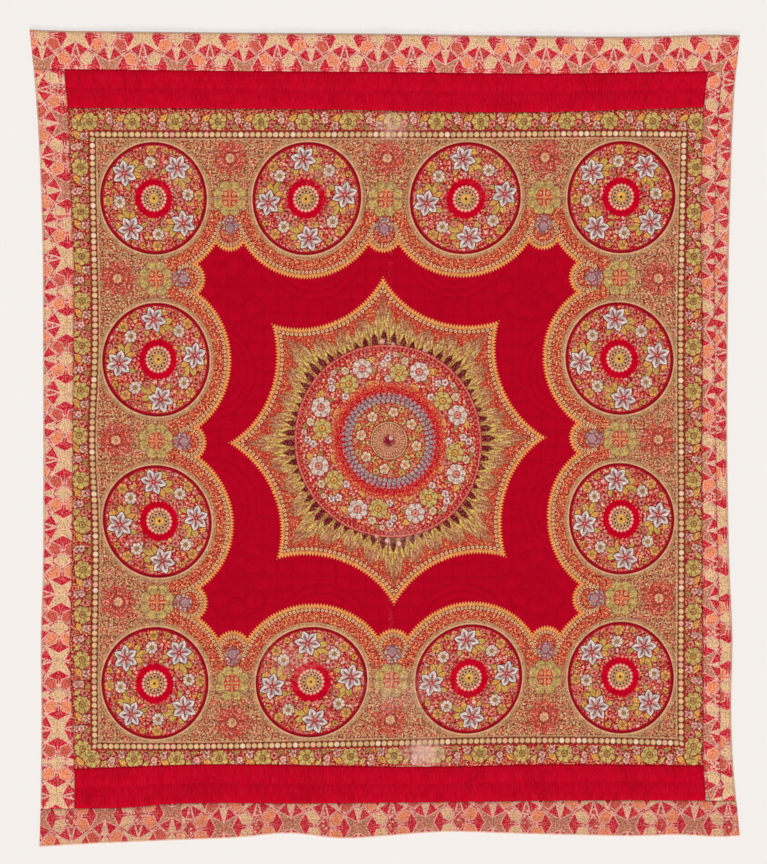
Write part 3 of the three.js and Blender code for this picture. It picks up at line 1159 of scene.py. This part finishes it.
# Rows of feathers: how many around, how deep inside the star's edge they end, taper and colour
FEATHERS = [
    (32, 12.0, 20.0, linear(214, 162, 122)),
    (64, 14.5, 15.0, linear(222, 188, 124)),
    (64, 20.5, 13.0, linear(226, 204, 106)),
]
# Rows of petals of the blue-grey ring: ring, how many, half length, half width, colour
PETAL_ROWS = [
    (44.8, 52, 2.0, 1.7, LILAC),
    (41.6, 56, 2.5, 1.7, BLUE),
    (38.4, 50, 2.1, 1.8, GREY),
]
# Small bare places of the print, where the dye has gone: place and size
BARE_SPOTS = [
    (-2.0, 97.0, 2.4),
    (8.5, 94.0, 1.7),
    (39.5, 87.5, 1.8),
    (-6.0, -97.0, 2.0),
    (5.6, -100.0, 2.2),
    (-16.5, -92.5, 1.5),
    (2.2, 2.4, 2.0),
]
# The hollow arc between two tips of the star: how far out its middle stands, and its radius
ARC_OUT = 224.9
ARC = 97.0


def feathers(paint, colour, depth, radius, turned, angle, streaks):
    """Rows of pointed feathers that radiate from the broad ring, and the dark drops at their foot."""
    outline = linear(146, 78, 48)
    shaded = within(streaks, 0.47, 0.12) * 0.75
    for row, (count, tip_depth, taper, tone) in enumerate(FEATHERS):
        side = teeth(angle, count, row * math.pi / count)
        half = least((depth - tip_depth) / taper, 0.86)
        inside = within(side, half, 0.2)
        colour = paint.lay(
            colour,
            (outline, within(side, half + 0.14, 0.2) * 0.85),
            (paint.mix(tone, linear(160, 96, 76), shaded), inside),
            (outline, within(side, 0.12, 0.12) * inside * 0.6),
        )
    drop_reach = fused(abs(turned), -26.0, 109.0)
    half = least((drop_reach - radius) / 9.0, 0.70)
    return paint.mix(colour, linear(84, 6, 28), within(teeth(angle, 64), half, 0.25))


def star_ring(paint, colour, place, x, y, radius, angle):
    """The broad ring of garden flowers, between a pink line and a stippled edge."""
    tones = [PINK, SALMON, RUST, OCHRE, DEEP_RED, PALE_PINK, PINK]
    garden = florets(paint, linear(196, 46, 46), place, 2.8, tones, 0.40, 0.95, WINE)
    colour = paint.lay(
        colour,
        (WINE, within(radius, 94.4, 0.8)),
        (linear(222, 118, 104), within(radius, 93.4, 0.8)),
        (DEEP_RED, within(radius, 91.7, 0.8)),
        (PINK, within(beads(radius, angle, 89.8, 130), 0.9, 0.8) * 0.7),
        (garden, within(radius, 88.0, 2.0)),
    )
    _, _, ring_x, ring_y = around(x, y, 8, math.radians(27))
    colour = posy(paint, colour, ring_x, ring_y, leaf, RING_LEAVES)
    return posy(paint, colour, ring_x, ring_y, bloom, RING_POSY)


def star_middle(paint, colour, place, x, y, radius, angle):
    """Inside the flowers: a stippled red ring, blue-grey petals, a small wreath and the striped disc."""
    gold_tones = [ORANGE, GOLD, RUST, SALMON]
    red_tones = [ORANGE, STRIP_RED, RUST, STRIP_RED]
    gold = florets(paint, RUST, place, 1.9, gold_tones, 0.34, 1.0, STRIP_RED, GOLD)
    red = florets(paint, STRIP_RED, place, 2.0, red_tones, 0.26, 1.0, STRIP_RED, GOLD)
    colour = paint.lay(
        colour,
        (gold, within(radius, 56.0 + teeth(angle, 48) * 2.0, 2.0)),
        (red, within(radius, 52.5, 3.0)),
    )
    for ring, count, half_length, half_width, tone in PETAL_ROWS:
        across = centred(angle, 2 * math.pi / count, ring * 0.05) * (ring / half_width)
        petal = hypot((radius - ring) / half_length, across)
        colour = paint.lay(colour, (PLUM, within(petal, 1.35, 0.3) * 0.8), (tone, within(petal, 1.0, 0.3)))
    ground = florets(paint, RUST, place, 2.3, [OCHRE, RUST, SALMON, OLIVE], 0.38, 1.0, WINE)
    colour = paint.mix(colour, ground, within(radius, 36.0))
    _, _, wreath_x, wreath_y = around(x, y, 8, math.radians(33))
    colour = posy(paint, colour, wreath_x, wreath_y, bloom, WREATH)
    striped = paint.mix(linear(222, 170, 128), linear(172, 92, 74), beyond(teeth(angle, 40), 0.55, 0.5))
    return paint.lay(
        colour,
        (DARK, within(radius, 18.9, 0.7)),
        (TAN, within(radius, 18.1, 0.6)),
        (BROWN, within(radius, 16.9, 0.6)),
        (striped, within(radius, 16.2, 0.7)),
        (BROWN, band(radius, 13.2, 0.7, 0.7) * 0.4),
        (linear(150, 56, 56), within(radius, 6.4, 1.5) * 0.8),
        (PLUM, within(radius, 4.6, 1.0)),
    )


def star():
    """The star: lace edge, feathers, the ring of flowers and all that is inside it."""
    paint, x, y, place = begin("panel_star")
    angle = bearing(x, y)
    radius, turned, fold_x, fold_y = around(x, y, 8)
    arc_x, arc_y = polar(ARC_OUT, 22.5)
    from_x = fold_x - arc_x
    from_y = abs(fold_y) - arc_y
    depth = hypot(from_x, from_y) - ARC
    along = fused(bearing(from_x, from_y), 97.9, 202.4)
    streaks = paint.noise(paint.place(angle * 46.0, radius * 0.10), 1.0, 2.0, 0.7)
    colour = lace_ground(paint, RUST, place, depth, 60.0, streaks)
    colour = feathers(paint, colour, depth, radius, turned, angle, streaks)
    colour = star_ring(paint, colour, place, x, y, radius, angle)
    colour = star_middle(paint, colour, place, x, y, radius, angle)
    for spot_x, spot_y, size in BARE_SPOTS:
        colour = paint.mix(colour, PALE_PINK, within(hypot(x - spot_x, y - spot_y), size, 1.2) * 0.9)
    colour = engrave(paint, colour, place, 0.6)
    colour = lace(paint, colour, place, depth, along)
    return finish_cloth(paint, paint.mix(colour, FIELD_RED, within(depth, 0.0)), 0.8)


# The floral band round the panel

BAND_PITCH = 43.9
BAND_START = 4.4
# Leaves of one repeat: places along and outwards, turn, half length, half width, colour
BAND_LEAVES = [
    (-12.5, 12.5, 40, 5.8, 2.8, OCHRE),
    (12.0, 14.5, -50, 4.4, 2.0, LEAF),
    (17.0, 4.0, -30, 5.4, 2.3, OLIVE),
    (-14.0, 3.5, 20, 4.8, 2.0, LEAF),
]
# Flowers of one repeat: places along and outwards, size, petals, petal colour, heart colour
BAND_FLOWERS = [
    (0.0, 9.6, 8.8, 7, ROSE_YELLOW, OLIVE),
    (20.0, 15.6, 3.5, 5, PALE_PINK, SALMON),
    (20.6, 10.6, 3.3, 5, PALE_PINK, PINK),
    (30.5, 6.0, 3.6, 5, PALE_PINK, SALMON),
    (31.5, 1.5, 3.0, 5, PALE_PINK, RUST),
    (11.5, 7.0, 3.6, 6, PINK, DEEP_RED),
    (25.5, 18.0, 3.0, 5, SALMON, DEEP_RED),
]


def floral_band():
    """The floral band: flowers and leaves on a red ground, outside the beaded line."""
    paint, x, y, place = begin("panel_floral_band")
    along, out = frame_place(x, y)
    along = along - BAND_START
    off = out - (FRAME_LINE + 3.0)
    tones = [PINK, RUST, DEEP_RED, SALMON, RUST, OCHRE, PINK]
    colour = florets(paint, DEEP_RED, place, 2.8, tones, 0.40, 0.95, WINE)
    colour = engrave(paint, colour, place, 0.9)
    for draw, rows in ((leaf, BAND_LEAVES), (bloom, BAND_FLOWERS)):
        for at, height, *details in rows:
            colour = draw(paint, colour, centred(along, BAND_PITCH, at), off - height, *details)
    colour = paint.mix(colour, DEEP_RED, within(off, 1.4))
    return finish_cloth(paint, frame_beads(paint, engrave(paint, colour, place, 0.6), x, y))


# The border's printed patchwork: stars at the corners of a lattice and again at its middles

PATCH_ALONG = 67.2
PATCH_ACROSS = 60.0
BORDER_CORD = 2.7
# How much the bottom border is mixed with dark red: a painted shade over the whole strip
BOTTOM_PAINTED_SHADE = 0.20
PATCH_RED = linear(212, 18, 50)
PATCH_ORANGE = linear(252, 156, 112)
PATCH_CREAM = linear(242, 204, 154)
PATCH_TAN = linear(190, 140, 112)
PATCH_RUST = linear(218, 100, 82)
PATCH_LINE = linear(255, 206, 186)
# Corners of the patches round a star, in the quarter where both places are positive
STAR_ARM = [(15.5, 14.0), (-15.5, -2.0), (0.5, -14.0)]
KITE = [(0.4, 5.5), (12.6, 12.0), (4.4, 20.0)]
KITE_MIDDLE = [(0.0, 6.5), (3.0, 19.5), (-3.0, 19.5)]
SQUARE_PATCH = [(4.6, 22.4), (11.8, 15.0), (18.4, 18.8), (15.2, 27.0), (7.6, 28.2)]
SIDE_PATCH = [(10.0, 29.6), (19.6, 19.0), (26.0, 31.0)]
END_PATCH = [(0.0, 20.5), (8.0, 31.0), (-8.0, 31.0)]


def patch(paint, colour, x, y, corners, tone):
    """One printed patch: a polygon with a pale outline, its corners listed turning left."""
    depth = None
    for (x0, y0), (x1, y1) in zip(corners, corners[1:] + corners[:1]):
        run = math.hypot(x1 - x0, y1 - y0)
        nx, ny = (y0 - y1) / run, (x1 - x0) / run
        side = fused(x, nx, fused(y, ny, -(nx * x0 + ny * y0)))
        depth = side if depth is None else least(depth, side)
    return paint.lay(
        colour,
        (PATCH_LINE, beyond(depth, -0.6, 0.7) * 0.9),
        (tone, beyond(depth, 0.25, 0.7)),
    )


def patches_round_star(paint, colour, a, c, star_tone, end_tone, right_tone, red):
    """A star and the kites, squares and triangles round it, mirrored to all four sides."""
    square_tone = paint.mix(PATCH_ORANGE, right_tone, beyond(a, 0.0, 0.01))
    x, y = abs(a), abs(c)
    for corners, tone in (
        (STAR_ARM, star_tone),
        (END_PATCH, end_tone),
        (SIDE_PATCH, red),
        (SQUARE_PATCH, square_tone),
        (KITE, red),
        (KITE_MIDDLE, end_tone),
    ):
        colour = patch(paint, colour, x, y, corners, tone)
    return colour


def border_print(node_name, cut, join):
    """The patchwork print of one strip, which may be joined from two lengths.

    A cut is where a star stands along the strip, how far in from the edge it is cut and how it slants.
    A join is a place along the strip, and the cut of the cloth that starts there.
    """
    paint = Paint(node_name + "_print")
    along, inward = paint.point_place("strip")
    place = paint.place(along, inward)
    start, inset, slope = cut
    a = along - start
    c = fused(along, slope, inward + inset)
    if join:
        at, (next_start, next_inset, next_slope) = join
        after = beyond(along, at, 0.01)
        a = fused(after, start - next_start, a)
        c = fused(after, fused(along, next_slope - slope, next_inset - inset), c)
    tones = [PINK, PATCH_RED, PALE_PINK, PATCH_RED, PINK, RUST]
    ground = florets(paint, linear(206, 76, 70), place, 3.0, tones, 0.40, 1.0, RUST)
    specks, pick, _ = paint.cells(place, 1.9, 1.0)
    red = paint.mix(PATCH_RED, PINK, within(specks, 0.26, 0.2) * beyond(pick, 0.45, 0.1) * 0.8)
    grey = paint.lay(
        PATCH_TAN,
        (PATCH_RUST, within(specks, 0.30, 0.2) * 0.8),
        (PATCH_CREAM, beyond(specks, 0.62, 0.15) * 0.6),
    )
    middle_a = centred(a, PATCH_ALONG, PATCH_ALONG / 2)
    middle_c = centred(c, PATCH_ACROSS, PATCH_ACROSS / 2)
    corner_a = centred(a, PATCH_ALONG)
    corner_c = centred(c, PATCH_ACROSS)
    colour = patches_round_star(paint, ground, middle_a, middle_c, grey, PATCH_CREAM, PATCH_RUST, red)
    colour = patches_round_star(paint, colour, corner_a, corner_c, PATCH_CREAM, ground, PATCH_CREAM, red)
    cords = abs(sine((along if node_name == "border_top" else inward) * (math.pi / BORDER_CORD)))
    grain = paint.noise(place, 0.60, 2.0, 0.75)
    colour = paint.lay(
        colour,
        (BROWN, within(cords, 0.40, 0.5) * 0.16),
        (linear(220, 30, 50), beyond(grain, 0.53, 0.10) * 0.28),
        (linear(112, 34, 34), beyond(grain, 0.61, 0.05) * 0.60),
        (linear(255, 214, 190), within(grain, 0.39, 0.06) * 0.25),
    )
    if node_name == "border_bottom":
        # Painted shade: the whole bottom border darkened with dark red
        colour = paint.mix(colour, linear(150, 44, 46), BOTTOM_PAINTED_SHADE)
    if node_name != "border_right_inner":
        # Painted shade in a brown band just inside the outer edge, then the pale turned hem at the very edge
        colour = paint.lay(
            colour,
            (BROWN, within(inward, 2.4, 1.2) * 0.25),
            (linear(240, 204, 182), within(inward, 1.4, 0.9) * 0.55),
        )
    return finish_cloth(paint, colour, 0.4)


# Which print each face of the panel shows, by its number in the panel's list of materials

STAR_REACH = 166.0
STAR, GROUND, BAND, ROUNDELS = range(4)


def panel_region(x, y):
    """The number of the print at each place of the panel."""
    region = np.full(len(x), GROUND)
    region[np.hypot(x, y) < STAR_REACH] = STAR
    furthest = np.maximum(np.abs(x), np.abs(y))
    region[furthest > FRAME_LINE] = BAND
    local_x = (x % PITCH) - PITCH / 2
    local_y = (y % PITCH) - PITCH / 2
    region[(np.hypot(local_x, local_y) < ROUNDEL - 2.0) & (furthest > PITCH)] = ROUNDELS
    return region


def one_region(x, y):
    return np.zeros(len(x))


def add_strip_places(sheet, node_name, axis, way, outer_side):
    """Stores how far along its strip each point of a border lies, and how far in from the outer edge."""
    mesh = sheet.data
    places = np.empty(3 * len(mesh.vertices))
    mesh.vertices.foreach_get("co", places)
    places = places.reshape(-1, 3)
    along = places[:, axis]
    across = places[:, 1 - axis]
    inward = np.abs(across - np.interp(along, *sides_of(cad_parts[node_name])[outer_side]))
    give_point_places(mesh, "strip", way * along / UNIT, inward / UNIT)


# The pieces

# The outer side of each border, its axis, the way it is counted, its cut and its join
BORDERS = {
    "border_top": ("top", 0, 1, (-309.0, -5.3, 0.0), None),
    "border_bottom": ("bottom", 0, -1, (261.6, 19.5, 0.0), (202.7, (246.1, 2.0, 0.0))),
    "border_left": ("left", 1, 1, (180.1, -21.9, -0.0174), (223.0, (146.9, 4.0, 0.0))),
    "border_right_inner": ("right", 1, -1, (-277.4, 14.7, 0.0), None),
    "border_right_outer": ("right", 1, -1, (-221.2, 8.0, 0.0), (-8.0, (79.2, -4.0, 0.0))),
}

back = plain_back()
panel = make_sheet("centre_panel", [star(), panel_ground(), floral_band(), roundels(), back], panel_region)
red = plain_red()
strips = [make_sheet(name, [red, back], one_region) for name in ("red_strip_top", "red_strip_bottom")]
borders = []
for node_name, (outer_side, axis, way, cut, join) in BORDERS.items():
    border = make_sheet(node_name, [border_print(node_name, cut, join), back], one_region)
    add_strip_places(border, node_name, axis, way, outer_side)
    borders.append(border)


# The floor, the lights and the camera

FLOOR_HALF = 12.0
FLOOR_UNDER = 0.5 * MM
floor_corners = [
    (-FLOOR_HALF, -FLOOR_HALF, -FLOOR_UNDER),
    (FLOOR_HALF, -FLOOR_HALF, -FLOOR_UNDER),
    (FLOOR_HALF, FLOOR_HALF, -FLOOR_UNDER),
    (-FLOOR_HALF, FLOOR_HALF, -FLOOR_UNDER),
]
floor_mesh = bpy.data.meshes.new("floor")
floor_mesh.from_pydata(floor_corners, [], [(0, 1, 2, 3)])
floor = bpy.data.objects.new("floor", floor_mesh)
bpy.context.scene.collection.objects.link(floor)
floor_paint = Paint("pale_floor")
floor_paint.matt(linear(244, 240, 237), 0.1)
floor_mesh.materials.append(floor_paint.material)

ROOM_LIGHT = (1.0, 0.985, 0.975, 1.0)
ROOM_STRENGTH = 0.52
world = bpy.data.worlds.new("soft_room")
bpy.context.scene.world = world
world.use_nodes = True
world.node_tree.nodes["Background"].inputs["Color"].default_value = ROOM_LIGHT
world.node_tree.nodes["Background"].inputs["Strength"].default_value = ROOM_STRENGTH

# Each sun: strength, breadth, and how far it is tipped towards the quilt's foot and its left side
SUNS = {
    "high": (1.42, 30, 28, -16),
    "low": (1.15, 10, 74, 0),
}
for sun_name, (energy, breadth, tip_x, tip_y) in SUNS.items():
    sun_data = bpy.data.lights.new(sun_name, "SUN")
    sun_data.energy = energy
    sun_data.angle = math.radians(breadth)
    sun = bpy.data.objects.new(sun_name, sun_data)
    sun.rotation_euler = Euler((math.radians(tip_x), math.radians(tip_y), 0))
    bpy.context.scene.collection.objects.link(sun)

camera_data = bpy.data.cameras.new("camera")
camera = bpy.data.objects.new("camera", camera_data)
CAMERA_HEIGHT = 9.0
PHOTO_WIDTH = 767
PHOTO_CENTRE = (-0.0038, 0.0191)
camera.location = (*PHOTO_CENTRE, CAMERA_HEIGHT)
camera_data.sensor_fit = "HORIZONTAL"
camera_data.sensor_width = 36.0
camera_data.lens = camera_data.sensor_width * CAMERA_HEIGHT / (PHOTO_WIDTH * UNIT)
bpy.context.scene.collection.objects.link(camera)
bpy.context.scene.camera = camera
bpy.context.scene.view_settings.view_transform = "Standard"

# What each piece stands for

for piece in [panel, *strips, *borders]:
    node_name = piece.name.removesuffix("_cloth")
    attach(piece, "root")
    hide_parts(node_name)
    flat_cut(node_name)
